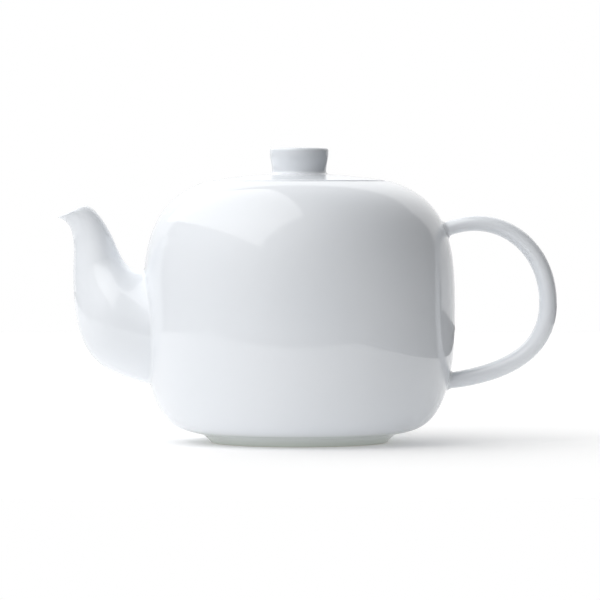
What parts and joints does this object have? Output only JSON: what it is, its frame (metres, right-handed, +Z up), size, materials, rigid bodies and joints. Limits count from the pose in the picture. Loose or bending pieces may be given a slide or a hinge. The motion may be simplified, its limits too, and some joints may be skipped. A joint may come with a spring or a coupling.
{
  "type": "teapot",
  "caption": "Rounded-square glazed porcelain teapot with a lift-off domed lid, drum knob, curved spout with strainer and a loop handle.",
  "frame": {"origin": "on the body's vertical axis, in the plane of the surface that the foot ring stands on", "axes": "+Z up along the body's axis; +X towards the handle, so the spout points along -X"},
  "size_m": [0.2246, 0.1402, 0.1329],
  "materials": {
    "glazed_porcelain": "gloss",
    "bare_porcelain": "matte"
  },
  "bodies": {
    "pot": {"body": "glazed_porcelain", "foot_ring": "bare_porcelain", "spout": "glazed_porcelain", "strainer": "glazed_porcelain", "handle": "glazed_porcelain"},
    "lid": {"lid": "glazed_porcelain", "lid_flange": "glazed_porcelain", "lid_knob": "glazed_porcelain"}
  },
  "joints": [
    {"name": "lid_lift", "type": "slide", "parent": "pot", "child": "lid", "axis": [0, 0, 1], "range_m": [0, 0.06]}
  ]
}
